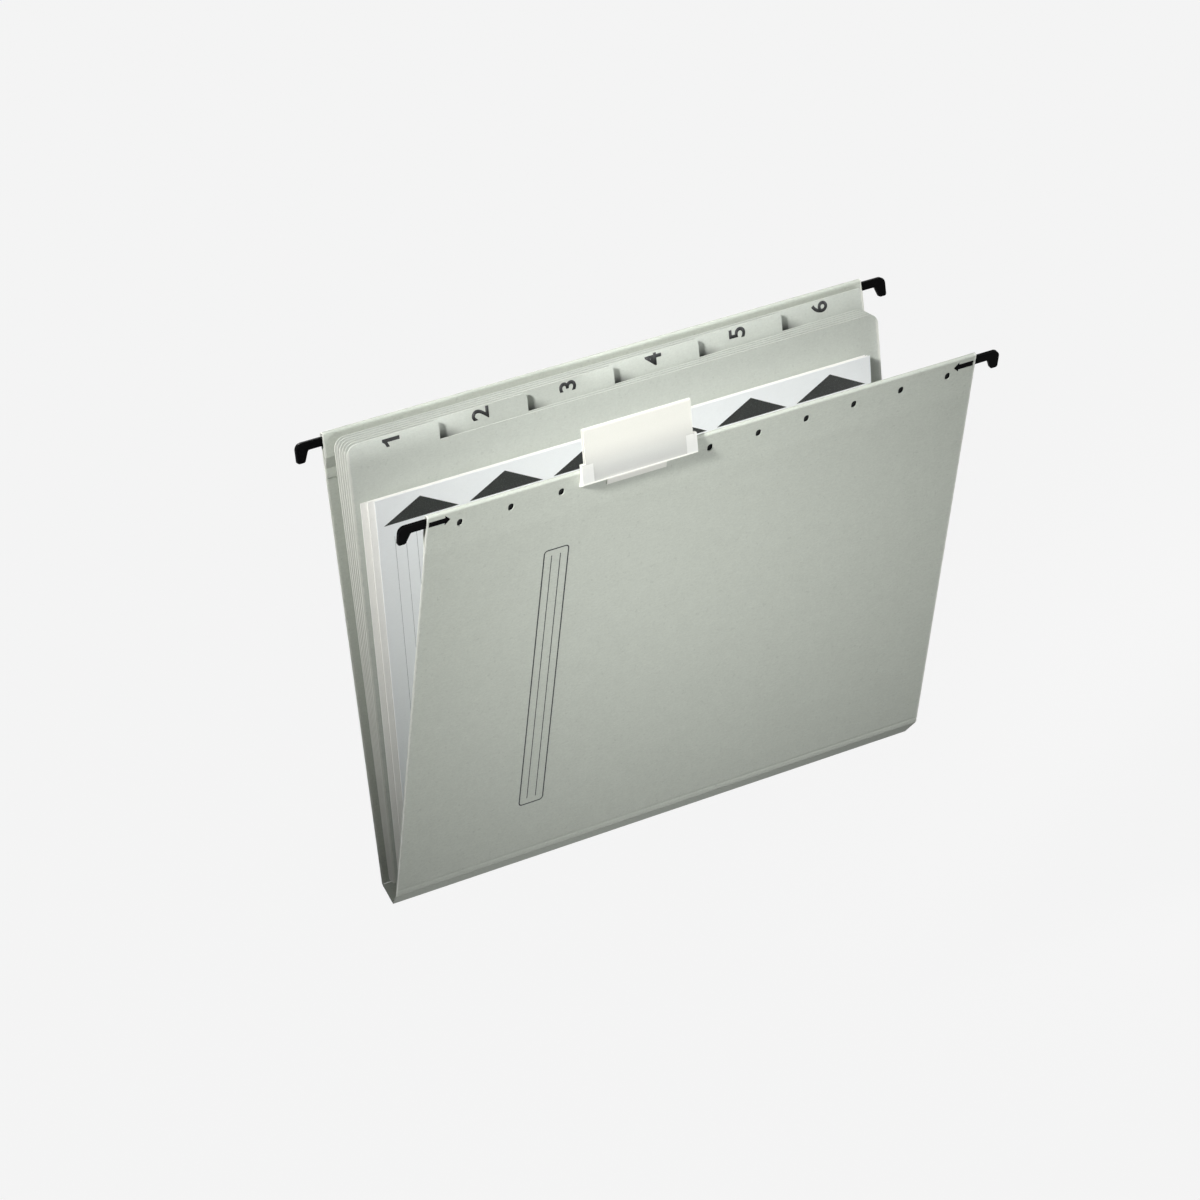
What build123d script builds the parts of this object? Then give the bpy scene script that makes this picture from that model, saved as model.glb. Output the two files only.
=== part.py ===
from build123d import *
import math
import os

# Hanging file folder: two card covers on a folded base, hung from four hooks and open in a V,
# with numbered dividers and index sheets bound inside and a label tab clipped on the front.
# Millimetres and degrees. X runs along the width, Y to the rear, Z up.
# The origin is the middle of the rear rail, on the line through its two hook seats.

# Covers
cover_width = 318.0
cover_height = 241.0
cover_card = 0.5
cover_lean = 10.9

# Base: two strips that meet at the bottom fold and carry the covers at the creases
crease_half_spacing = 7.0
crease_rise = 8.75
base_trim = 2.0
crease_gap = 0.1
fold_closing_angle = 12.0

# Score line pressed into the outer face of each cover, above its crease
score_rise = 3.0
score_width = 2.2
score_depth = 0.15

# Rolled hem at the top of each cover
hem_thickness = 2.6
hem_pocket = 13.0
hem_taper = 6.0
hem_glue = 5.0

# Stiffening rail inside each hem
rail_height = 10.0
rail_thickness = 0.9
rail_end_inset = 13.0
rail_clearance = 0.05

# Hook at each end of a rail
hook_reach = 15.0
hook_thickness = 2.4
hook_arm_drop = 2.2
hook_arm_height = 4.4
hook_depth = 12.5
hook_nose_width = 4.2
hook_nose_slant = 2.4
hook_outer_radius = 3.5
hook_small_radius = 1.2
hook_edge_radius = 0.4
hook_shoulder_gap = 0.1
hook_lap = 10.0
stake_radius = 1.2
stake_clearance = 0.05

# Arrow-shaped window at each end of a hem, and the barb of the hook that locks in it
arrow_edge = 1.2
arrow_length = 12.0
arrow_shaft_height = 3.2
arrow_head_length = 3.2
arrow_head_height = 5.8
arrow_drop = 5.0
barb_clearance = 0.15
barb_recess = 0.05

# Row of oval tab holes in the front cover
tab_hole_count = 11
tab_hole_left_margin = 18.5
tab_hole_right_margin = 16.5
tab_hole_drop = 8.8
tab_hole_width = 3.2
tab_hole_height = 4.2

# Leaves bound in the base: index sheets in front, dividers behind
leaf_pitch = 0.9
leaf_front_offset = -2.4
binding_top = 11.6
binding_bottom = 1.8
binding_clearance = 0.6

divider_count = 6
divider_tab_width = 52.0
divider_height = 226.0
divider_tab_height = 10.0
divider_card = 0.4
divider_corner = 6.0
divider_tab_corner = 3.0
divider_front_lean = 7.7
divider_lean_step = 0.4

sheet_width = 292.0
sheet_shift = -1.8
sheet_height = 208.0
sheet_thickness = 0.25
sheet_front_lean = 6.1
sheet_lean_step = 0.4
sheet_overhang = 2.8
sheet_height_step = 0.6
sheet_names = ["index_sheet", "second_sheet", "third_sheet"]

# Label tab, clipped into two neighbouring tab holes
label_tab_hole = 3
label_tab_width = 61.0
label_tab_rise = 22.0
label_tab_skirt = 5.4
label_tab_wall = 0.8
label_tab_tilt = 18.0
label_tab_face_gap = 0.1
label_tab_foot_width = 6.0
label_tab_foot_overhang = 2.2
label_tab_foot_rise = 5.0
label_tab_foot_drop = 8.5
label_tab_tongue_width = 34.0
label_tab_tongue_drop = 11.8
label_tab_knee_drop = 1.0
peg_radius = 1.3
peg_reach = 0.45

label_width = 59.0
label_height = 15.5
label_thickness = 0.3
label_clearance = 0.2

# Worked-out places
half_card = cover_card / 2
half_width = cover_width / 2
crease_height = half_card + crease_rise
base_angle = math.degrees(math.atan2(crease_half_spacing, crease_rise))
strip_length = math.hypot(crease_half_spacing, crease_rise)
strip_end = strip_length - half_card - crease_gap
divider_width = divider_count * divider_tab_width
sheet_count = len(sheet_names)
leaf_count = sheet_count + divider_count
tab_hole_pitch = (cover_width - tab_hole_left_margin - tab_hole_right_margin) / (tab_hole_count - 1)

# Places across the thickness of an upright front cover, outer face towards -Y
face_outer = -half_card
face_inner = half_card
hem_radius = hem_thickness / 2
hem_middle = face_outer + hem_radius
hem_back = face_outer + hem_thickness
pocket_back = hem_back - cover_card
rail_back = pocket_back - rail_clearance
rail_front = rail_back - rail_thickness
rail_top = cover_height - hem_radius - rail_clearance
tongue_front = face_inner + rail_clearance

# The folder hangs by its rear hooks, so the bottom fold is placed from their seats
seat_height = cover_height - hook_arm_drop - hook_arm_height
lean_radians = math.radians(cover_lean)
hang_depth = crease_half_spacing + seat_height * math.sin(lean_radians) - hem_middle * math.cos(lean_radians)
hang_height = crease_height + seat_height * math.cos(lean_radians) + hem_middle * math.sin(lean_radians)
fold_place = Pos(0, -hang_depth, -hang_height)

# A cover's own frame has its crease on the X axis and stands upright
front_place = fold_place * Pos(0, -crease_half_spacing, crease_height) * Rot(cover_lean, 0, 0)
rear_place = fold_place * Pos(0, crease_half_spacing, crease_height) * Rot(-cover_lean, 0, 0)


def along_x(face, length):
    """Extrude a Y-Z face evenly to both sides of the middle plane."""
    return extrude(Plane.YZ * face, length / 2, both=True)


def through_y(face, front, back):
    """Extrude an X-Z face from y = front to y = back."""
    return extrude(Plane.XZ.offset(-back) * face, back - front)


def polygon(*points):
    return make_face(Polyline(*points, close=True))


def round_corner(face, point, radius):
    return fillet(face.vertices().sort_by_distance((*point, 0))[0], radius)


def beaded_blank(length, thickness, height):
    """A flat card standing on the X axis, its lower edge rounded about that axis."""
    half = thickness / 2
    outline = [
        Line((-half, 0), (-half, height)),
        Line((-half, height), (half, height)),
        Line((half, height), (half, 0)),
        ThreePointArc((half, 0), (0, -half), (-half, 0)),
    ]
    return along_x(make_face(outline), length)


def arrow(clearance):
    """Arrow that points inwards from the right-hand end of a hem."""
    tail = half_width - arrow_edge - clearance
    tip = half_width - arrow_edge - arrow_length + clearance
    neck = half_width - arrow_edge - arrow_length + arrow_head_length - clearance
    middle = cover_height - arrow_drop
    shaft = arrow_shaft_height / 2 - clearance
    head = arrow_head_height / 2 - clearance
    return polygon(
        (tail, middle + shaft),
        (neck, middle + shaft),
        (neck, middle + head),
        (tip, middle),
        (neck, middle - head),
        (neck, middle - shaft),
        (tail, middle - shaft),
    )


def hole_place(index):
    """Centre of a tab hole along the width."""
    return tab_hole_left_margin + index * tab_hole_pitch - half_width


def cover():
    """Upright front cover: panel, rolled hem and the two arrow windows."""
    arc_height = cover_height - hem_radius
    pocket_end = cover_height - hem_pocket
    glue_top = pocket_end - hem_taper
    glue_end = glue_top - hem_glue
    flap_back = face_inner + cover_card
    score_low = score_rise - score_width / 2
    score_top = score_rise + score_width / 2
    score_bed = face_outer + score_depth
    outer = [
        Line((face_outer, 0), (face_outer, score_low)),
        Line((face_outer, score_low), (score_bed, score_rise)),
        Line((score_bed, score_rise), (face_outer, score_top)),
        Line((face_outer, score_top), (face_outer, arc_height)),
        ThreePointArc((face_outer, arc_height), (hem_middle, cover_height), (hem_back, arc_height)),
        Line((hem_back, arc_height), (hem_back, pocket_end)),
        Line((hem_back, pocket_end), (flap_back, glue_top)),
        Line((flap_back, glue_top), (flap_back, glue_end)),
        Line((flap_back, glue_end), (face_inner, glue_end)),
        Line((face_inner, glue_end), (face_inner, 0)),
        ThreePointArc((face_inner, 0), (0, -half_card), (face_outer, 0)),
    ]
    pocket_top = (hem_middle, cover_height - cover_card)
    pocket = [
        ThreePointArc((face_inner, arc_height), pocket_top, (pocket_back, arc_height)),
        Line((pocket_back, arc_height), (pocket_back, pocket_end)),
        Line((pocket_back, pocket_end), (face_inner, glue_top)),
        Line((face_inner, glue_top), (face_inner, arc_height)),
    ]
    body = along_x(make_face(outer) - make_face(pocket), cover_width)
    window = through_y(arrow(0), face_outer - cover_card, (face_inner + rail_front) / 2)
    return body - window - mirror(window, about=Plane.YZ)


def tab_holes():
    """Cutters for the row of oval holes, through the outer ply alone."""
    oval = Rot(0, 0, 90) * SlotOverall(tab_hole_height, tab_hole_width)
    middle = cover_height - tab_hole_drop
    places = [Pos(hole_place(index), middle) for index in range(tab_hole_count)]
    return [
        through_y(place * oval, face_outer - cover_card, (face_inner + rail_front) / 2)
        for place in places
    ]


def stake_place():
    """Where the stake of the right-hand hook passes through the rail."""
    along = half_width - rail_end_inset - hook_lap / 2
    return along, rail_top - rail_height / 2


def rail():
    """Flat strip in the hem, with a hole at each end for the hook's stake."""
    length = cover_width - 2 * rail_end_inset
    middle = (rail_front + rail_back) / 2
    strip = Pos(0, middle, rail_top - rail_height / 2) * Box(length, rail_thickness, rail_height)
    along, height = stake_place()
    hole = through_y(
        Pos(along, height) * Circle(stake_radius + stake_clearance), rail_front - 1, rail_back + 1
    )
    return strip - hole - mirror(hole, about=Plane.YZ)


def hook():
    """Right-hand hook of the front cover: nose and arm outside, tongue in the hem."""
    start = half_width + hook_shoulder_gap
    tip = half_width + hook_reach
    top = cover_height - hook_arm_drop
    seat = seat_height
    low = cover_height - hook_depth
    nose = tip - hook_nose_width
    outer_top = (tip, top)
    rounded = [(tip, low), (nose, low), (nose - hook_nose_slant, seat)]
    outline = polygon((start, top), outer_top, *rounded, (start, seat))
    outline = round_corner(outline, outer_top, hook_outer_radius)
    for corner in rounded:
        outline = round_corner(outline, corner, hook_small_radius)
    outside = through_y(outline, hem_middle - hook_thickness / 2, hem_middle + hook_thickness / 2)
    rims = [edge for edge in outside.edges() if edge.bounding_box().size.Y < hook_thickness / 2]
    outside = fillet(rims, hook_edge_radius)

    rail_end = half_width - rail_end_inset + rail_clearance
    tongue = through_y(
        polygon((start, top), (start, seat), (rail_end, seat), (rail_end, top)), tongue_front, rail_back
    )
    lap_end = rail_end - hook_lap
    lap = through_y(
        polygon((start, top), (start, seat), (lap_end, seat), (lap_end, top)),
        tongue_front,
        rail_front - rail_clearance,
    )
    along, height = stake_place()
    stake = through_y(Pos(along, height) * Circle(stake_radius), tongue_front, rail_back)
    barb = through_y(arrow(barb_clearance), face_outer + barb_recess, rail_front - rail_clearance)
    return outside + tongue + lap + stake + barb


def base_strip(blank):
    """Strip standing on the bottom fold, shorter there than at its crease."""
    outline = polygon(
        (-half_width + base_trim, -cover_card),
        (half_width - base_trim, -cover_card),
        (half_width - base_trim, 0),
        (half_width, strip_end),
        (-half_width, strip_end),
        (-half_width + base_trim, 0),
    )
    return blank & through_y(outline, -cover_card, cover_card)


def binding():
    """Glued block of leaf margins: sits on the rear strip, clear of the closing front strip."""
    front = leaf_front_offset - leaf_pitch / 2
    back = front + leaf_count * leaf_pitch
    rear_tangent = math.tan(math.radians(base_angle))
    closed_angle = math.radians(base_angle - fold_closing_angle)
    closed_tangent = math.tan(closed_angle)
    rear_face = half_card / math.sin(math.radians(base_angle))
    front_offset = (half_card + binding_clearance) / math.cos(closed_angle)

    def rear_depth(height):
        return (height - half_card - rear_face) * rear_tangent

    def front_depth(height):
        return front_offset - (height - half_card) * closed_tangent

    front_shoulder = half_card + (front_offset - front) / closed_tangent
    back_shoulder = half_card + rear_face + back / rear_tangent
    return along_x(
        polygon(
            (front, binding_top),
            (front, front_shoulder),
            (front_depth(binding_bottom), binding_bottom),
            (rear_depth(binding_bottom), binding_bottom),
            (back, back_shoulder),
            (back, binding_top),
        ),
        sheet_width,
    )


def divider(index):
    """Upright divider: full height up to the end of its tab, and cut lower beyond it."""
    top = divider_height + divider_tab_height
    blank = beaded_blank(divider_width, divider_card, top)
    low = Pos(0, (divider_height - divider_card) / 2) * Rectangle(
        divider_width, divider_height + divider_card
    )
    low = fillet(low.vertices().group_by(Axis.Y)[-1].sort_by(Axis.X)[-1], divider_corner)
    reach = (index + 1) * divider_tab_width
    full = Pos((reach - divider_width) / 2, (top - divider_card) / 2) * Rectangle(
        reach, top + divider_card
    )
    corners = full.vertices().group_by(Axis.Y)[-1].sort_by(Axis.X)
    full = fillet(corners[0], divider_corner)
    corners = full.vertices().group_by(Axis.Y)[-1].sort_by(Axis.X)
    full = fillet(corners[-1], divider_tab_corner)
    return blank & through_y(low + full, -divider_card, divider_card)


def leaf_place(index, thickness, lean):
    """Place an upright leaf on the binding, counted from the front."""
    depth = leaf_front_offset + index * leaf_pitch
    height = binding_top + crease_gap + thickness / 2
    return fold_place * Pos(0, depth, height) * Rot(-lean, 0, 0)


# The label tab is drawn on the upright front cover. Its sleeve leans back from a knee
# in front of the hem, and has its own frame there: y across the walls, z up the sleeve.
tab_back = face_outer - label_tab_face_gap
tab_front = tab_back - label_tab_wall
tab_knee = cover_height - label_tab_knee_drop
tab_miter = label_tab_wall * math.tan(math.radians(label_tab_tilt / 2))
tab_middle_x = hole_place(label_tab_hole + 0.5)
knee_place = Pos(tab_middle_x, tab_front, tab_knee) * Rot(-label_tab_tilt, 0, 0)
sleeve_gap = label_thickness + 2 * label_clearance
sleeve_front = -sleeve_gap - label_tab_wall


def sleeve_point(y, z):
    """A point of the sleeve's own frame, in the frame of the upright front cover."""
    lean = math.radians(label_tab_tilt)
    return (
        tab_front + y * math.cos(lean) + z * math.sin(lean),
        tab_knee - y * math.sin(lean) + z * math.cos(lean),
    )


def label_tab():
    """Sleeve folded over at the top, two end feet, and a tongue with two pegs."""
    wall = label_tab_wall
    middle = -sleeve_gap / 2
    arc_start = label_tab_rise
    sleeve = [
        Line((wall, tab_miter), (wall, arc_start)),
        ThreePointArc((wall, arc_start), (middle, arc_start + wall - middle), (sleeve_front, arc_start)),
        Line((sleeve_front, arc_start), (sleeve_front, -label_tab_skirt)),
        Line((sleeve_front, -label_tab_skirt), (-sleeve_gap, -label_tab_skirt)),
        Line((-sleeve_gap, -label_tab_skirt), (-sleeve_gap, arc_start)),
        ThreePointArc((-sleeve_gap, arc_start), (middle, arc_start - middle), (0, arc_start)),
        Line((0, arc_start), (0, 0)),
        Line((0, 0), (wall, tab_miter)),
    ]
    body = knee_place * along_x(make_face(sleeve), label_tab_width)

    foot_low = cover_height - label_tab_foot_drop
    foot = polygon(
        sleeve_point(sleeve_front, -label_tab_skirt),
        sleeve_point(sleeve_front, label_tab_foot_rise),
        sleeve_point(wall, label_tab_foot_rise),
        sleeve_point(wall, tab_miter),
        (tab_back, foot_low),
        (tab_front, foot_low),
    )
    foot_middle = (label_tab_width - label_tab_foot_width) / 2 + label_tab_foot_overhang
    for side in (-1, 1):
        body += Pos(tab_middle_x + side * foot_middle, 0, 0) * along_x(foot, label_tab_foot_width)

    tongue_low = cover_height - label_tab_tongue_drop
    tongue = polygon(
        sleeve_point(0, 0), sleeve_point(wall, tab_miter), (tab_back, tongue_low), (tab_front, tongue_low)
    )
    body += Pos(tab_middle_x, 0, 0) * along_x(tongue, label_tab_tongue_width)
    for hole in (label_tab_hole, label_tab_hole + 1):
        peg = Pos(hole_place(hole), cover_height - tab_hole_drop) * Circle(peg_radius)
        body += through_y(peg, tab_front, face_inner + peg_reach)
    return body


def label_insert():
    """Card that stands on the feet inside the sleeve and slides out sideways."""
    height = label_tab_foot_rise + label_clearance + label_height / 2
    return knee_place * Pos(0, -sleeve_gap / 2, height) * Box(label_width, label_thickness, label_height)


nodes = {}

# Covers, with their rails and hooks
plain_cover = cover()
nodes["front_cover"] = front_place * (plain_cover - tab_holes())
nodes["rear_cover"] = rear_place * mirror(plain_cover, about=Plane.XZ)
nodes["front_rail"] = front_place * rail()
nodes["rear_rail"] = rear_place * mirror(rail(), about=Plane.XZ)
right_hook = hook()
left_hook = mirror(right_hook, about=Plane.YZ)
nodes["front_right_hook"] = front_place * right_hook
nodes["front_left_hook"] = front_place * left_hook
nodes["rear_right_hook"] = rear_place * mirror(right_hook, about=Plane.XZ)
nodes["rear_left_hook"] = rear_place * mirror(left_hook, about=Plane.XZ)

# Base strips: the front one has the rounded bead of the bottom fold, and the rear one
# starts clear of it even when the folder is closed
bottom_fold = fold_place * Pos(0, 0, half_card)
front_blank = beaded_blank(cover_width, cover_card, strip_end)
closed_fold = math.radians(2 * base_angle - fold_closing_angle)
rear_start = (half_card * (1 + math.cos(closed_fold)) + crease_gap) / math.sin(closed_fold)
rear_blank = Pos(0, 0, (rear_start + strip_end) / 2) * Box(cover_width, cover_card, strip_end - rear_start)
nodes["front_base_strip"] = bottom_fold * Rot(base_angle, 0, 0) * base_strip(front_blank)
nodes["rear_base_strip"] = bottom_fold * Rot(-base_angle, 0, 0) * base_strip(rear_blank)
nodes["divider_binding"] = fold_place * binding()

# Leaves, from the front to the rear
for index, name in enumerate(sheet_names):
    sheet_lean = sheet_front_lean + index * sheet_lean_step
    overhang = index * sheet_overhang
    height = sheet_height - index * sheet_height_step
    blank = beaded_blank(sheet_width + overhang, sheet_thickness, height)
    sheet = Pos(sheet_shift - overhang / 2, 0, 0) * blank
    nodes[name] = leaf_place(index, sheet_thickness, sheet_lean) * sheet
for index in range(divider_count):
    divider_lean = divider_front_lean + index * divider_lean_step
    place = leaf_place(sheet_count + index, divider_card, divider_lean)
    nodes[f"divider_{index + 1}"] = place * divider(index)

# Label tab and its card, on the front cover
nodes["label_tab"] = front_place * label_tab()
nodes["label_insert"] = front_place * label_insert()

os.makedirs("parts", exist_ok=True)
for name, shape in nodes.items():
    shape.label = name
    export_step(shape, f"parts/{name}.step")
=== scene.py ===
import math

import bmesh
import bpy
from mathutils import Matrix, Quaternion, Vector


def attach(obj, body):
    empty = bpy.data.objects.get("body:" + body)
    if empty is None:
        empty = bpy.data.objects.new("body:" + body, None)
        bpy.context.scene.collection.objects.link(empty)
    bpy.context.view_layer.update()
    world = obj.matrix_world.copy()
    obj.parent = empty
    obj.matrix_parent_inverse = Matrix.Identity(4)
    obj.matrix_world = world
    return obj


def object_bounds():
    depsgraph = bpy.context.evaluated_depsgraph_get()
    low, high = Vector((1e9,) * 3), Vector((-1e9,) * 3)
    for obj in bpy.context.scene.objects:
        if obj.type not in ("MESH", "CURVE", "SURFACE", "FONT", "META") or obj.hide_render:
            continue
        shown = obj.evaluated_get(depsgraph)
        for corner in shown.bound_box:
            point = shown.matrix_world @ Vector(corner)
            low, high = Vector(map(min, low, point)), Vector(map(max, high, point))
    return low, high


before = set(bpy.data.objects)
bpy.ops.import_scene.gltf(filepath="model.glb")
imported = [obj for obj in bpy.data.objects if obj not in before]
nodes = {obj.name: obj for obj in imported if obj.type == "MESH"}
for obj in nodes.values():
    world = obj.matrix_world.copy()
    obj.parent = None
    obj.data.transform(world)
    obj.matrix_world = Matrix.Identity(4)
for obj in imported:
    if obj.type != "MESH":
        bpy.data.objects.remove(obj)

# Hanging file folder of grey card, open in a V, with six numbered dividers and white index sheets
# bound inside and a frosted label tab clipped on the front. Metres, in the frame of the solids.
scene = bpy.context.scene
cad_low, cad_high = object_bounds()

# Camera, above the front left corner of the folder and a long way off, so that the edges
# run almost parallel. It is rolled a little, as a hand-levelled tripod is.
camera_place = Vector((-1.16985, -1.92313, 1.12242))
camera_aim = Vector((-0.03209, -0.05029, -0.10164))
camera_roll = math.radians(0.844)
camera_data = bpy.data.cameras.new("camera")
camera_data.lens = 149.77
camera_data.sensor_width = 36.0
camera = bpy.data.objects.new("camera", camera_data)
camera_turn = (camera_aim - camera_place).to_track_quat("-Z", "Y")
camera_turn = camera_turn @ Quaternion((0.0, 0.0, 1.0), -camera_roll)
camera.location = camera_place
camera.rotation_euler = camera_turn.to_euler()
scene.collection.objects.link(camera)
scene.camera = camera
scene.view_settings.view_transform = "Standard"

# Floor: a plain pale sweep. The folder hangs clear of it, with room for the front cover to be
# let down. The camera sees it almost evenly pale, with the folder's soft shadow.
floor_size = 12.0
floor_squares = 8
floor_drop = 0.30
floor_pale = (0.895, 0.895, 0.895, 1.0)
floor_bounce = (0.06, 0.06, 0.06, 1.0)
floor_glow = 1.05
floor_shadow_share = 0.05


def shader_node(tree, kind, inputs=None, **options):
    """Add a node, set its options, and set or link its inputs."""
    made = tree.nodes.new(kind)
    for option, value in options.items():
        setattr(made, option, value)
    for socket, value in (inputs or {}).items():
        if isinstance(value, bpy.types.NodeSocket):
            tree.links.new(value, made.inputs[socket])
        else:
            made.inputs[socket].default_value = value
    return made


def math_node(tree, operation, first, second=0.0, third=0.0):
    made = shader_node(tree, "ShaderNodeMath", {0: first, 1: second, 2: third}, operation=operation)
    return made.outputs[0]


def mix_shaders(tree, share, first, second):
    made = shader_node(tree, "ShaderNodeMixShader", {0: share, 1: first, 2: second})
    return made.outputs[0]


def seen_directly(tree):
    """1 for rays that show the stage to the eye, straight or in a gloss, and 0 for its light."""
    path = shader_node(tree, "ShaderNodeLightPath").outputs
    glossy = math_node(tree, "MAXIMUM", path["Is Camera Ray"], path["Is Glossy Ray"])
    return math_node(tree, "MAXIMUM", glossy, path["Is Transmission Ray"])


def new_finish(name):
    """A new material and its tree of nodes."""
    made = bpy.data.materials.new(name)
    made.use_nodes = True
    return made, made.node_tree


def mesh_piece(name, mesh, material):
    """Make an object of a finished bmesh, at the origin with its place in its mesh."""
    data = bpy.data.meshes.new(name)
    mesh.to_mesh(data)
    mesh.free()
    data.materials.append(material)
    piece = bpy.data.objects.new(name, data)
    scene.collection.objects.link(piece)
    return piece


floor_paint, tree = new_finish("floor_pale")
tree.nodes.remove(tree.nodes["Principled BSDF"])
bounce = shader_node(tree, "ShaderNodeBsdfDiffuse", {"Color": floor_bounce})
shaded = shader_node(tree, "ShaderNodeBsdfDiffuse", {"Color": floor_pale})
glow = shader_node(tree, "ShaderNodeEmission", {"Color": floor_pale, "Strength": floor_glow})
shown = mix_shaders(tree, floor_shadow_share, glow.outputs[0], shaded.outputs[0])
both = mix_shaders(tree, seen_directly(tree), bounce.outputs[0], shown)
tree.links.new(both, tree.nodes["Material Output"].inputs["Surface"])
floor_mesh = bmesh.new()
bmesh.ops.create_grid(
    floor_mesh,
    x_segments=floor_squares,
    y_segments=floor_squares,
    size=floor_size / 2,
    matrix=Matrix.Translation((0.0, 0.0, cad_low.z - floor_drop)),
)
floor = mesh_piece("floor", floor_mesh, floor_paint)

# Studio light: two soft lamps in front for the cover, one high at the left that rakes along the
# dividers and draws the shadows beside their tabs, a weak one at the right for the edges,
# one behind, and a room that is pale overhead.
room_colour = (0.97, 0.985, 1.0, 1.0)
room_overhead = 0.60
room_around = 0.01
room_fade_start = 0.5
lamp_warm = (1.0, 0.995, 0.98)
lamp_cool = (0.97, 0.985, 1.0)


def ramp(tree, value, start, end, low, high, easing="SMOOTHSTEP"):
    """Map one span of values to another, held at both ends."""
    made = shader_node(
        tree,
        "ShaderNodeMapRange",
        {"Value": value, "From Min": start, "From Max": end, "To Min": low, "To Max": high},
        interpolation_type=easing,
    )
    return made.outputs[0]


def axis_value(tree, point, axis):
    return shader_node(tree, "ShaderNodeSeparateXYZ", {0: point}).outputs[axis]


def hang_lamp(name, place, aim, power, colour, cone, head):
    """Hang a soft lamp with a narrow cone, and point it at a spot on the folder."""
    lamp_data = bpy.data.lights.new(name, "SPOT")
    lamp_data.energy = power
    lamp_data.color = colour
    lamp_data.spot_size = math.radians(cone)
    lamp_data.spot_blend = 1.0
    lamp_data.shadow_soft_size = head
    lamp = bpy.data.objects.new(name, lamp_data)
    lamp.location = place
    lamp.rotation_euler = (Vector(aim) - Vector(place)).to_track_quat("-Z", "Y").to_euler()
    scene.collection.objects.link(lamp)


room = bpy.data.worlds.new("studio")
room.use_nodes = True
scene.world = room
tree = room.node_tree
seen_room = shader_node(tree, "ShaderNodeBackground", {"Color": floor_pale, "Strength": 1.0})
lit_room = tree.nodes["Background"]
lit_room.inputs["Color"].default_value = room_colour
room_height = axis_value(tree, shader_node(tree, "ShaderNodeTexCoord").outputs["Generated"], "Z")
room_fade = ramp(tree, room_height, room_fade_start, 1.0, room_around, room_overhead)
tree.links.new(room_fade, lit_room.inputs["Strength"])
room_mix = mix_shaders(tree, seen_directly(tree), lit_room.outputs[0], seen_room.outputs[0])
tree.links.new(room_mix, tree.nodes["World Output"].inputs["Surface"])

hang_lamp(
    "fill_lamp",
    place=(0.15, -2.20, 0.02),
    aim=(0.0, -0.08, -0.09),
    power=87.0,
    colour=lamp_cool,
    cone=24.0,
    head=0.30,
)
hang_lamp(
    "cover_lamp",
    place=(0.10, -1.50, 0.02),
    aim=(-0.060, -0.08, -0.07),
    power=39.0,
    colour=lamp_warm,
    cone=19.0,
    head=0.20,
)
hang_lamp(
    "left_lamp",
    place=(-1.55, -0.61, 0.95),
    aim=(-0.045, -0.05, 0.022),
    power=390.0,
    colour=lamp_warm,
    cone=12.6,
    head=0.16,
)
hang_lamp(
    "right_lamp",
    place=(1.90, -0.05, 0.55),
    aim=(0.0, -0.05, -0.10),
    power=120.0,
    colour=lamp_cool,
    cone=18.0,
    head=0.25,
)
hang_lamp(
    "back_lamp",
    place=(0.35, 2.20, 0.30),
    aim=(0.0, -0.01, -0.11),
    power=240.0,
    colour=lamp_warm,
    cone=22.0,
    head=0.35,
)

# Covers: two panels of solid grey card, each rolled over at the top into a glued hem. The card
# is mottled with short fibres and paler where it is cut, with painted highlights on rounded folds and
# side edges.
cover_grey = (0.486, 0.514, 0.459, 1.0)
card_core_and_highlight = (0.72, 0.73, 0.68, 1.0)
card_fibre = 0.00012
card_gloss = 0.3
card_unevenness = 0.12
cloud_share = 0.35
grain_share = 1.1
fibre_share = 0.75
fibre_relief = 0.4
fleck_depth = 0.35
edge_on = 0.5
square_on = 0.97
side_highlight_full = 0.35
cover_lean = math.radians(10.9)
front_crease = Vector((0.0, -0.057293, -0.230370))
rear_crease = Vector((0.0, -0.043293, -0.230370))
cover_half_width = 0.159
cover_side_highlight = 0.0011
hem_flap_low = 0.215
hem_flap_high = 0.220
hem_band_painted_lift = 1.045


def effect_group(name, inputs, outputs):
    """A node group with named sockets. Gives the group and the values that come in."""
    group = bpy.data.node_groups.new(name, "ShaderNodeTree")
    for direction, sockets in (("INPUT", inputs), ("OUTPUT", outputs)):
        for socket, kind in sockets.items():
            group.interface.new_socket(socket, in_out=direction, socket_type=f"NodeSocket{kind}")
    return group, shader_node(group, "NodeGroupInput").outputs


def place_group(tree, group, inputs):
    return shader_node(tree, "ShaderNodeGroup", inputs, node_tree=group).outputs


def noise(tree, point, scale, detail, roughness=0.5, distortion=0.0):
    made = shader_node(
        tree,
        "ShaderNodeTexNoise",
        {
            "Vector": point,
            "Scale": scale,
            "Detail": detail,
            "Roughness": roughness,
            "Distortion": distortion,
        },
    )
    return made.outputs["Fac"]


card_stock, given = effect_group(
    "card_stock",
    {"Vector": "Vector", "Card": "Color", "Mottle": "Float"},
    {"Color": "Color", "Height": "Float"},
)
drawn_out = shader_node(
    card_stock,
    "ShaderNodeMapping",
    {"Vector": given["Vector"], "Rotation": (0.0, 0.12, 0.0), "Scale": (0.16, 1.0, 1.0)},
)
clouds = noise(card_stock, given["Vector"], scale=130.0, detail=2.0)
grain = noise(card_stock, given["Vector"], scale=900.0, detail=4.0, roughness=0.65)
fibres = noise(card_stock, drawn_out.outputs[0], scale=2400.0, detail=1.0, distortion=0.6)
flecks = noise(card_stock, given["Vector"], scale=520.0, detail=1.0)
flecks = ramp(card_stock, flecks, 0.66, 0.74, 0.0, fleck_depth)
mixed = math_node(card_stock, "MULTIPLY", grain, grain_share)
mixed = math_node(card_stock, "MULTIPLY_ADD", clouds, cloud_share, mixed)
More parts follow.
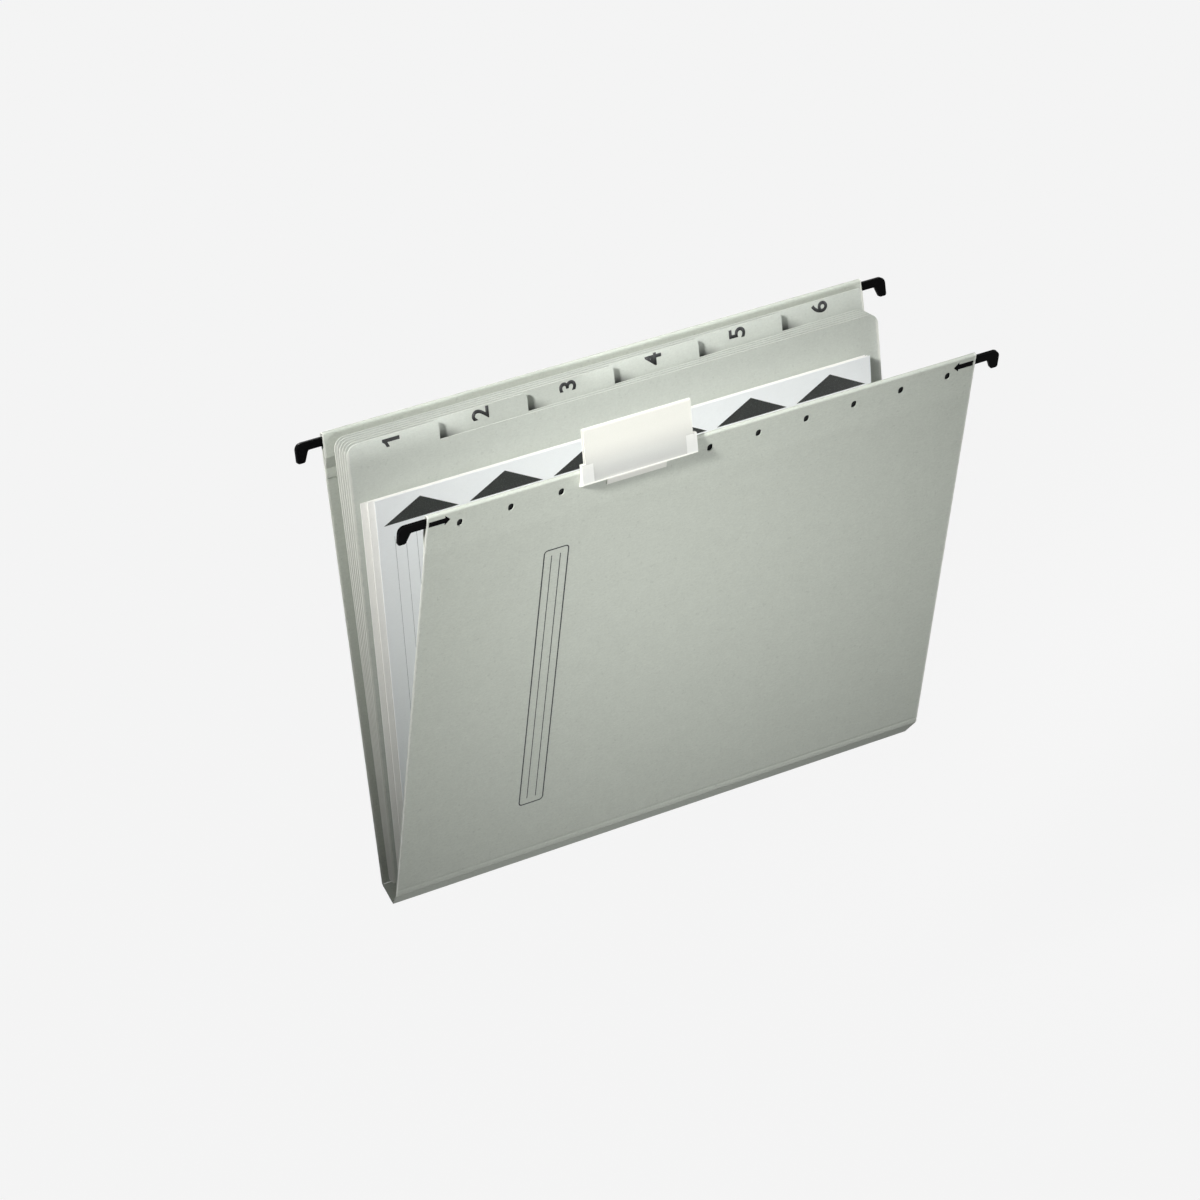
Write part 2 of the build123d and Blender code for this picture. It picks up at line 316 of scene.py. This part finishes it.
mixed = math_node(card_stock, "MULTIPLY_ADD", fibres, fibre_share, mixed)
swing = math_node(card_stock, "SUBTRACT", mixed, (grain_share + cloud_share + fibre_share) / 2)
swing = math_node(card_stock, "SUBTRACT", swing, flecks)
tone = math_node(card_stock, "MULTIPLY_ADD", swing, given["Mottle"], 1.0)
toned = shader_node(
    card_stock, "ShaderNodeVectorMath", {0: given["Card"], "Scale": tone}, operation="SCALE"
)
height = math_node(card_stock, "MULTIPLY", grain, 1.0 - fibre_relief)
height = math_node(card_stock, "MULTIPLY_ADD", fibres, fibre_relief, height)
shader_node(card_stock, "NodeGroupOutput", {"Color": toned.outputs[0], "Height": height})

# Painted highlight: faces turned away from the card's face are paler. On sharp cut edges this is the pale
# cut core; on rounded folds, such as the hem's roll, it is a painted highlight.
cut_edge_and_fold_highlight, given = effect_group("cut_edge_and_fold_highlight", {"Face": "Vector"}, {"Mask": "Float"})
facing = shader_node(
    cut_edge_and_fold_highlight,
    "ShaderNodeVectorMath",
    {0: shader_node(cut_edge_and_fold_highlight, "ShaderNodeTexCoord").outputs["Normal"], 1: given["Face"]},
    operation="DOT_PRODUCT",
)
facing = math_node(cut_edge_and_fold_highlight, "ABSOLUTE", facing.outputs["Value"])
edge_and_fold_highlight_mask = ramp(cut_edge_and_fold_highlight, facing, edge_on, square_on, 1.0, 0.0)
shader_node(cut_edge_and_fold_highlight, "NodeGroupOutput", {"Mask": edge_and_fold_highlight_mask})

# Painted highlight: a ragged pale band along a card's side edges, standing for light caught by the edges.
painted_side_highlight, given = effect_group(
    "painted_side_highlight", {"Vector": "Vector", "Half Width": "Float", "Reach": "Float"}, {"Mask": "Float"}
)
across = math_node(painted_side_highlight, "ABSOLUTE", axis_value(painted_side_highlight, given["Vector"], "X"))
inward = math_node(painted_side_highlight, "SUBTRACT", given["Half Width"], across)
ragged = noise(painted_side_highlight, given["Vector"], scale=260.0, detail=3.0)
ragged = math_node(painted_side_highlight, "SUBTRACT", ragged, 0.5)
inward = math_node(painted_side_highlight, "MULTIPLY_ADD", ragged, given["Reach"], inward)
inward = math_node(painted_side_highlight, "DIVIDE", inward, given["Reach"])
side_highlight_mask = ramp(painted_side_highlight, inward, side_highlight_full, 1.0, 1.0, 0.0)
shader_node(painted_side_highlight, "NodeGroupOutput", {"Mask": side_highlight_mask})


def leaf_face(lean):
    """Normal of the front face of a sheet that leans back by this angle."""
    return Vector((0.0, -math.cos(lean), math.sin(lean)))


def object_point(tree):
    return shader_node(tree, "ShaderNodeTexCoord").outputs["Object"]


def upright_point(tree, foot, lean):
    """Object coordinates in the frame of a piece that stands on this foot and leans."""
    made = shader_node(
        tree,
        "ShaderNodeMapping",
        {"Vector": object_point(tree), "Location": foot, "Rotation": (lean, 0.0, 0.0)},
        vector_type="TEXTURE",
    )
    return made.outputs[0]


def blend_colours(tree, factor, first, second):
    made = shader_node(tree, "ShaderNodeMix", {0: factor, 6: first, 7: second}, data_type="RGBA")
    return made.outputs[2]


def card_finish(name, colour, face, mottle, paleness, roughness, bump):
    """Card or paper, with mottled faces, paler cut edges and a painted highlight on rounded folds."""
    made, tree = new_finish(name)
    stock = place_group(
        tree, card_stock, {"Vector": object_point(tree), "Card": colour, "Mottle": mottle}
    )
    edges = math_node(tree, "MULTIPLY", place_group(tree, cut_edge_and_fold_highlight, {"Face": face})["Mask"], paleness)
    raised = shader_node(
        tree, "ShaderNodeBump", {"Strength": bump, "Distance": card_fibre, "Height": stock["Height"]}
    )
    rough = math_node(tree, "MULTIPLY_ADD", stock["Height"], card_unevenness, roughness)
    skin = tree.nodes["Principled BSDF"]
    tree.links.new(blend_colours(tree, edges, stock["Color"], card_core_and_highlight), skin.inputs["Base Color"])
    tree.links.new(rough, skin.inputs["Roughness"])
    tree.links.new(raised.outputs[0], skin.inputs["Normal"])
    skin.inputs["Specular IOR Level"].default_value = card_gloss
    return made


def paint_side_highlight(finish, half_width, reach, share):
    """Paint a pale highlight along the side edges of a card, standing for the light its edges catch."""
    tree = finish.node_tree
    coloured = tree.nodes["Principled BSDF"].inputs["Base Color"]
    plain = coloured.links[0].from_socket
    sides = place_group(
        tree, painted_side_highlight, {"Vector": object_point(tree), "Half Width": half_width, "Reach": reach}
    )
    side_highlight_share = math_node(tree, "MULTIPLY", sides["Mask"], share)
    tree.links.new(blend_colours(tree, side_highlight_share, plain, card_core_and_highlight), coloured)


def shade_finish(finish, shade):
    """Multiply the colour of a finish by a shade that changes over the surface."""
    tree = finish.node_tree
    coloured = tree.nodes["Principled BSDF"].inputs["Base Color"]
    plain = coloured.links[0].from_socket
    shaded = shader_node(tree, "ShaderNodeVectorMath", {0: plain, "Scale": shade}, operation="SCALE")
    tree.links.new(shaded.outputs[0], coloured)


def cover_finish(name, crease, lean):
    """Card of a cover: a painted shading change at the edge of its hem's flap, and a painted highlight
    along its side edges.
    """
    made = card_finish(
        name, cover_grey, leaf_face(-lean), mottle=0.24, paleness=0.05, roughness=0.62, bump=0.40
    )
    # Painted highlight along the cover's side edges.
    paint_side_highlight(made, cover_half_width, cover_side_highlight, share=0.8)
    tree = made.node_tree
    rise = axis_value(tree, upright_point(tree, crease, lean), "Z")
    # Painted light: the card is painted a little lighter above the edge of the hem's flap, standing for
    # the shading change where the flap is glued behind it.
    shade_finish(made, ramp(tree, rise, hem_flap_low, hem_flap_high, 1.0, hem_band_painted_lift))
    return made


def dress(names, material):
    """Give solids of the frame their finish."""
    for name in names:
        slots = nodes[name].material_slots
        if not slots:
            nodes[name].data.materials.append(material)
        for slot in slots:
            slot.material = material


dress(["front_cover"], cover_finish("front_cover_card", front_crease, cover_lean))
dress(["rear_cover"], cover_finish("rear_cover_card", rear_crease, -cover_lean))

# Write-on field of the front cover: a thin printed frame with two rules, turned to read upwards,
# laid on the card as a film of dark ink.
ink_film = 0.00003
ink_black = (0.020, 0.021, 0.022, 1.0)
ink_worn = (0.10, 0.10, 0.10, 1.0)
field_left = -0.0905
field_right = -0.0760
field_low = 0.034
field_high = 0.198
field_line = 0.0007
field_corner = 0.0022
field_rules = (-0.0858, -0.0808)
field_rule_half = field_line / 3
field_rule_inset = 0.004
front_face = -0.00025

ink_speckle, given = effect_group(
    "ink_speckle",
    {
        "Vector": "Vector",
        "Scale": "Float",
        "Detail": "Float",
        "Roughness": "Float",
        "Full": "Float",
        "Share": "Float",
    },
    {"Grain": "Float", "Mask": "Float"},
)
grain = noise(ink_speckle, given["Vector"], given["Scale"], given["Detail"], given["Roughness"])
speckled = ramp(ink_speckle, grain, 0.5, given["Full"], 0.0, given["Share"], "LINEAR")
shader_node(ink_speckle, "NodeGroupOutput", {"Grain": grain, "Mask": speckled})


def ink_finish(name, colour, beneath, speckle, roughness, unevenness):
    """Flat printing ink with a little of what lies beneath showing through in specks."""
    made, tree = new_finish(name)
    skin = tree.nodes["Principled BSDF"]
    specks = place_group(tree, ink_speckle, {"Vector": object_point(tree), **speckle})
    rough = math_node(tree, "MULTIPLY_ADD", specks["Grain"], unevenness, roughness)
    tree.links.new(blend_colours(tree, specks["Mask"], colour, beneath), skin.inputs["Base Color"])
    tree.links.new(rough, skin.inputs["Roughness"])
    return made


card_speckle = {"Scale": 1600.0, "Detail": 3.0, "Roughness": 0.7, "Full": 0.85, "Share": 0.25}
ink = ink_finish("printing_ink", ink_black, ink_worn, card_speckle, roughness=0.5, unevenness=0.2)


def film_face(mesh, corners):
    """A flat face in the plane of a sheet from a few corners across its width and height."""
    return mesh.faces.new([mesh.verts.new((across, 0.0, up)) for across, up in corners])


def film_bar(mesh, left, right, low, high):
    return film_face(mesh, [(left, low), (right, low), (right, high), (left, high)])


def raise_film(mesh, film, place):
    """Thicken flat faces into a film that stands off its sheet, and put it in place."""
    bmesh.ops.recalc_face_normals(mesh, faces=mesh.faces)
    backs = mesh.faces[:]
    for face in backs:
        if face.normal.y < 0:
            face.normal_flip()
    raised = bmesh.ops.extrude_face_region(mesh, geom=backs, use_keep_orig=True)
    risen = [part for part in raised["geom"] if isinstance(part, bmesh.types.BMVert)]
    bmesh.ops.translate(mesh, verts=risen, vec=(0.0, -film, 0.0))
    bmesh.ops.recalc_face_normals(mesh, faces=mesh.faces)
    bmesh.ops.transform(mesh, matrix=place, verts=mesh.verts)


front_upright = Matrix.Translation(front_crease) @ Matrix.Rotation(cover_lean, 4, "X")
field_mesh = bmesh.new()
film_bar(field_mesh, field_left, field_right, field_low, field_high)
bmesh.ops.bevel(
    field_mesh,
    geom=field_mesh.verts[:],
    offset=field_corner,
    affect="VERTICES",
    segments=6,
    profile=0.5,
    material=-1,
)
bmesh.ops.inset_region(
    field_mesh, faces=field_mesh.faces[:], thickness=field_line, use_boundary=True, use_even_offset=True
)
middle = max(field_mesh.faces, key=lambda face: face.calc_area())
bmesh.ops.delete(field_mesh, geom=[middle], context="FACES_ONLY")
for across in field_rules:
    film_bar(
        field_mesh,
        across - field_rule_half,
        across + field_rule_half,
        field_low + field_rule_inset,
        field_high - field_rule_inset,
    )
raise_film(field_mesh, ink_film, front_upright @ Matrix.Translation((0.0, front_face, 0.0)))
write_on_field = mesh_piece("write_on_field", field_mesh, ink)
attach(write_on_field, "front_cover")

# Base: two narrow strips of the same card between the three creases, and the glued block
# of leaf margins that stands on the rear strip.
crease_half_spacing = 0.0070
crease_rise = 0.00875
base_angle = math.atan2(crease_half_spacing, crease_rise)
leaf_pitch = 0.0009
glue_shade = 0.72
binding_grey = (0.50, 0.53, 0.48, 1.0)

for side, lean in (("front", -base_angle), ("rear", base_angle)):
    strip_card = card_finish(
        f"{side}_base_card",
        cover_grey,
        leaf_face(lean),
        mottle=0.16,
        paleness=0.45,
        roughness=0.62,
        bump=0.35,
    )
    dress([f"{side}_base_strip"], strip_card)
binding = card_finish(
    "binding_card", binding_grey, (0.0, 1.0, 0.0), mottle=0.2, paleness=0.3, roughness=0.7, bump=0.5
)
tree = binding.node_tree
ply = math_node(tree, "PINGPONG", axis_value(tree, object_point(tree), "Y"), leaf_pitch / 2)
shade_finish(binding, ramp(tree, ply, 0.0, leaf_pitch / 5, glue_shade, 1.0, "LINEAR"))
dress(["divider_binding"], binding)

# Hooks and rails: satin black plastic hooks with a barb that locks in the arrow window,
# staked to a black lacquered steel strip inside the hem.
hook_black = (0.002, 0.002, 0.0022, 1.0)
dust_grey = (0.005, 0.005, 0.005, 1.0)
dust_share = 0.3
moulding_grain = 0.00005
black_unevenness = 0.2

black_grain, given = effect_group(
    "black_grain", {"Vector": "Vector", "Scale": "Float"}, {"Grain": "Float", "Dust": "Float"}
)
grain = noise(black_grain, given["Vector"], given["Scale"], detail=3.0)
dust = ramp(black_grain, grain, 0.45, 0.9, 0.0, dust_share, "LINEAR")
shader_node(black_grain, "NodeGroupOutput", {"Grain": grain, "Dust": dust})


def black_finish(name, roughness, grain_scale, bump, coat, gloss):
    """Black plastic or lacquer with a fine grain and a little dust in it."""
    made, tree = new_finish(name)
    skin = tree.nodes["Principled BSDF"]
    surface = place_group(tree, black_grain, {"Vector": object_point(tree), "Scale": grain_scale})
    raised = shader_node(
        tree, "ShaderNodeBump", {"Strength": bump, "Distance": moulding_grain, "Height": surface["Grain"]}
    )
    rough = math_node(tree, "MULTIPLY_ADD", surface["Grain"], black_unevenness, roughness)
    tree.links.new(blend_colours(tree, surface["Dust"], hook_black, dust_grey), skin.inputs["Base Color"])
    tree.links.new(rough, skin.inputs["Roughness"])
    tree.links.new(raised.outputs[0], skin.inputs["Normal"])
    skin.inputs["Coat Weight"].default_value = coat
    skin.inputs["Specular IOR Level"].default_value = gloss
    return made


hook_finish = black_finish(
    "hook_plastic", roughness=0.34, grain_scale=1800.0, bump=0.25, coat=0.0, gloss=0.02
)
rail_finish = black_finish(
    "rail_lacquer", roughness=0.25, grain_scale=700.0, bump=0.15, coat=0.1, gloss=0.2
)
dress([f"{row}_{side}_hook" for row in ("front", "rear") for side in ("left", "right")], hook_finish)
dress(["front_rail", "rear_rail"], rail_finish)

# Index sheets: three sheets of smooth paper bound in front of the dividers. The first is white, with
# a dark pointer under each tab and fine ruled lines, printed so that the sheet is read from its side.
# The two behind it are creamier.
paper_white = (0.895, 0.917, 0.935, 1.0)
paper_cream = (0.925, 0.920, 0.890, 1.0)
pointer_grey = (0.030, 0.032, 0.031, 1.0)
rule_grey = (0.42, 0.44, 0.45, 1.0)
fold_low = Vector((0.0, -0.050293, -0.239370))
binding_top = 0.0116
crease_gap = 0.0001
leaf_front_offset = -0.0024
sheet_papers = {"index_sheet": paper_white, "second_sheet": paper_cream, "third_sheet": paper_cream}
sheet_thickness = 0.00025
sheet_shift = -0.0018
sheet_height = 0.208
sheet_lean = math.radians(6.1)
sheet_lean_step = math.radians(0.4)
pointer_count = 6
pointer_pitch = 0.0484
pointer_base = 0.0425
pointer_height = 0.0107
pointer_drop = 0.0037
rule_first = -0.1368
rule_pitch = 0.0061
rule_count = 45
rule_width = 0.00025
rule_low = 0.020
rule_high = 0.187


def leaf_frame(order, thickness, lean):
    """Where a leaf stands on the binding, counted from the front."""
    depth = leaf_front_offset + order * leaf_pitch
    rise = binding_top + crease_gap + thickness / 2
    return Matrix.Translation(fold_low + Vector((0.0, depth, rise))) @ Matrix.Rotation(-lean, 4, "X")


def sheet_ink(name, colour, share):
    speckle = {"Scale": 2200.0, "Detail": 2.0, "Roughness": 0.5, "Full": 0.9, "Share": share}
    return ink_finish(name, colour, paper_white, speckle, roughness=0.45, unevenness=0.15)


for order, (name, paper) in enumerate(sheet_papers.items()):
    face = leaf_face(sheet_lean + order * sheet_lean_step)
    sheet_paper = card_finish(
        f"{name}_paper", paper, face, mottle=0.05, paleness=0.25, roughness=0.5, bump=0.12
    )
    dress([name], sheet_paper)

sheet_front = leaf_frame(0, sheet_thickness, sheet_lean)
sheet_front = sheet_front @ Matrix.Translation((sheet_shift, -sheet_thickness / 2, 0.0))
pointer_mesh = bmesh.new()
pointer_top = sheet_height - pointer_drop
for step in range(pointer_count):
    across = (step - (pointer_count - 1) / 2) * pointer_pitch
    film_face(
        pointer_mesh,
        [
            (across - pointer_base / 2, pointer_top - pointer_height),
            (across + pointer_base / 2, pointer_top - pointer_height),
            (across, pointer_top),
        ],
    )
raise_film(pointer_mesh, ink_film, sheet_front)
pointers = mesh_piece("index_pointers", pointer_mesh, sheet_ink("pointer_ink", pointer_grey, 0.08))
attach(pointers, "index_sheet")

rule_mesh = bmesh.new()
for step in range(rule_count):
    across = rule_first + step * rule_pitch
    film_bar(rule_mesh, across - rule_width / 2, across + rule_width / 2, rule_low, rule_high)
raise_film(rule_mesh, ink_film, sheet_front)
rules = mesh_piece("index_rules", rule_mesh, sheet_ink("rule_ink", rule_grey, 0.3))
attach(rules, "index_sheet")

# Dividers: six cards with rounded corners, each with one tab of the staggered row. The tab's
# number is printed on it, turned to read upwards.
divider_count = 6
divider_grey = (0.560, 0.589, 0.545, 1.0)
divider_card = 0.0004
divider_height = 0.226
divider_tab_width = 0.052
divider_half_width = divider_count * divider_tab_width / 2
divider_lean = math.radians(7.7)
divider_lean_step = math.radians(0.4)
divider_side_highlight = 0.0017
figure_height = 0.0098
figure_rise = 0.0060
figure_shift = -0.0012
figure_weight = 0.022
painted_shadow_aside = 0.0016
painted_shadow_rise = 0.2248
painted_shadow_reach = (0.0150, 1.0, 0.0070)
painted_shadow_depth = 0.72
reads_upwards = Matrix(((0, -1, 0, 0), (0, 0, -1, 0), (1, 0, 0, 0), (0, 0, 0, 1)))


def flagged_one():
    """The figure one with a flag, one unit high, because the built-in one is a bare stem."""
    mesh = bmesh.new()
    stem = [(0.30, 0.0), (0.50, 0.0), (0.50, 1.0), (0.35, 1.0)]
    flag = [(0.24, 0.86), (0.04, 0.76), (0.04, 0.58), (0.30, 0.70)]
    mesh.faces.new([mesh.verts.new((across, up, 0.0)) for across, up in stem + flag])
    return mesh


def built_in_figure(name, figure):
    """A figure of the built-in letter shapes, made bolder, as flat faces."""
    shape = bpy.data.curves.new(name, "FONT")
    shape.body = figure
    shape.offset = figure_weight
    shape.resolution_u = 6
    letter = bpy.data.objects.new(name, shape)
    scene.collection.objects.link(letter)
    flat = bpy.data.meshes.new_from_object(letter.evaluated_get(bpy.context.evaluated_depsgraph_get()))
    bpy.data.objects.remove(letter)
    mesh = bmesh.new()
    mesh.from_mesh(flat)
    bpy.data.meshes.remove(flat)
    bmesh.ops.remove_doubles(mesh, verts=mesh.verts, dist=1e-5)
    return mesh


def printed_figure(name, mesh, place):
    """Lay a flat figure on its tab as a film of ink, turned to read upwards."""
    low = Vector([min(vert.co[axis] for vert in mesh.verts) for axis in range(3)])
    high = Vector([max(vert.co[axis] for vert in mesh.verts) for axis in range(3)])
    size = figure_height / (high.y - low.y)
    bmesh.ops.translate(mesh, verts=mesh.verts, vec=-(low + high) / 2)
    bmesh.ops.scale(mesh, verts=mesh.verts, vec=(size, size, size))
    bmesh.ops.transform(mesh, matrix=reads_upwards, verts=mesh.verts)
    raise_film(mesh, ink_film, place)
    return mesh_piece(name, mesh, ink)


def divider_finish(name, foot, lean, tab_left):
    """Card of a divider, with a painted shadow in the corner where the tab in front of it ends."""
    made = card_finish(
        f"{name}_card", divider_grey, leaf_face(lean), mottle=0.18, paleness=0.7, roughness=0.6, bump=0.3
    )
    # Painted highlight along the divider's side edges.
    paint_side_highlight(made, divider_half_width, divider_side_highlight, share=0.9)
    # Painted shadow: the corner beside the end of the tab in front is painted darker, standing for the
    # shadow that tab casts.
    if tab_left > -divider_half_width:
        tree = made.node_tree
        corner = shader_node(
            tree,
            "ShaderNodeMapping",
            {
                "Vector": upright_point(tree, foot, -lean),
                "Location": (tab_left + painted_shadow_aside, 0.0, painted_shadow_rise),
                "Scale": painted_shadow_reach,
            },
            vector_type="TEXTURE",
        )
        away = shader_node(tree, "ShaderNodeVectorMath", {0: corner.outputs[0]}, operation="LENGTH")
        shade_finish(made, ramp(tree, away.outputs["Value"], 0.0, 1.0, 1.0 - painted_shadow_depth, 1.0))
    return made


for order in range(divider_count):
    name = f"divider_{order + 1}"
    lean = divider_lean + order * divider_lean_step
    upright = leaf_frame(len(sheet_papers) + order, divider_card, lean)
    tab_left = order * divider_tab_width - divider_half_width
    dress([name], divider_finish(name, upright.translation, lean, tab_left))
    figure_place = upright @ Matrix.Translation(
        (
            tab_left + divider_tab_width / 2 + figure_shift,
            -divider_card / 2,
            divider_height + figure_rise,
        )
    )
    if order == 0:
        figure_mesh = flagged_one()
    else:
        figure_mesh = built_in_figure(name, str(order + 1))
    figure = printed_figure(f"{name}_number", figure_mesh, figure_place)
    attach(figure, name)

# Label tab: a folded sleeve of frosted, milky plastic with solid feet at its ends, clipped
# into two of the tab holes. A card of cream paper slides in it from the side.
milk = (0.83, 0.83, 0.77, 1.0)
milk_low = (0.64, 0.65, 0.625, 1.0)
milk_thin = 0.50
milk_thick = 0.70
milk_fade = (-0.006, 0.014)
white_fade = (-0.004, 0.016)
label_cream = (0.79, 0.785, 0.73, 1.0)
knee_place = Vector((-0.04145, -0.103805, 0.005083))
knee_lean = cover_lean - math.radians(18.0)
foot_start = 0.0262
foot_rise = 0.0050
foot_blur = 0.0004
foot_milk = 0.9
foot_dim = 0.35
sleeve_rim = -0.0045
rim_highlight_share = 0.95
cut_milk = 0.9
moulded_edge = 0.0003
frost_swing = 0.08
frost_bump = 0.2
frost_roughness = 0.3
frost_unevenness = 0.25

frosted, tree = new_finish("frosted_plastic")
sleeve = upright_point(tree, knee_place, knee_lean)
along = math_node(tree, "ABSOLUTE", axis_value(tree, sleeve, "X"))
rise = axis_value(tree, sleeve, "Z")
frost = noise(tree, object_point(tree), scale=2600.0, detail=2.0)
milky = ramp(tree, rise, *milk_fade, milk_thin, milk_thick)
upper = ramp(tree, rise, *white_fade, 0.0, 1.0)
foot = ramp(tree, along, foot_start - foot_blur, foot_start + foot_blur, 0.0, foot_milk, "LINEAR")
low_end = ramp(tree, rise, foot_rise - moulded_edge, foot_rise + moulded_edge, 1.0, 0.0, "LINEAR")
feet = math_node(tree, "MULTIPLY", foot, low_end)
# Painted highlight: from the sleeve's lower rim down, the rim and the tongue are more opaque and painted
# whiter. The opacity is the thicker moulded plastic. The whiteness is a painted highlight on the rim and
# painted light on the tongue in the sleeve's shadow.
rim_and_tongue_highlight = ramp(
    tree, rise, sleeve_rim - moulded_edge, sleeve_rim + moulded_edge, rim_highlight_share, 0.0, "LINEAR"
)
cuts = place_group(tree, cut_edge_and_fold_highlight, {"Face": leaf_face(-knee_lean)})["Mask"]
bright_rims = math_node(tree, "MAXIMUM", math_node(tree, "MULTIPLY", cuts, cut_milk), rim_and_tongue_highlight)
opacity = math_node(tree, "MAXIMUM", milky, math_node(tree, "MAXIMUM", feet, bright_rims))
opacity = math_node(
    tree, "MULTIPLY_ADD", math_node(tree, "SUBTRACT", frost, 0.5), frost_swing, opacity
)
whiteness = math_node(tree, "MAXIMUM", upper, bright_rims)
whiteness = math_node(
    tree, "MULTIPLY", whiteness, math_node(tree, "MULTIPLY_ADD", feet, -foot_dim, 1.0)
)
raised = shader_node(
    tree, "ShaderNodeBump", {"Strength": frost_bump, "Distance": moulding_grain, "Height": frost}
)
skin = tree.nodes["Principled BSDF"]
rough = math_node(tree, "MULTIPLY_ADD", frost, frost_unevenness, frost_roughness)
tree.links.new(blend_colours(tree, whiteness, milk_low, milk), skin.inputs["Base Color"])
tree.links.new(opacity, skin.inputs["Alpha"])
tree.links.new(rough, skin.inputs["Roughness"])
tree.links.new(raised.outputs[0], skin.inputs["Normal"])
dress(["label_tab"], frosted)
label_paper = card_finish(
    "label_paper", label_cream, leaf_face(-knee_lean), mottle=0.05, paleness=0.2, roughness=0.6, bump=0.15
)
dress(["label_insert"], label_paper)
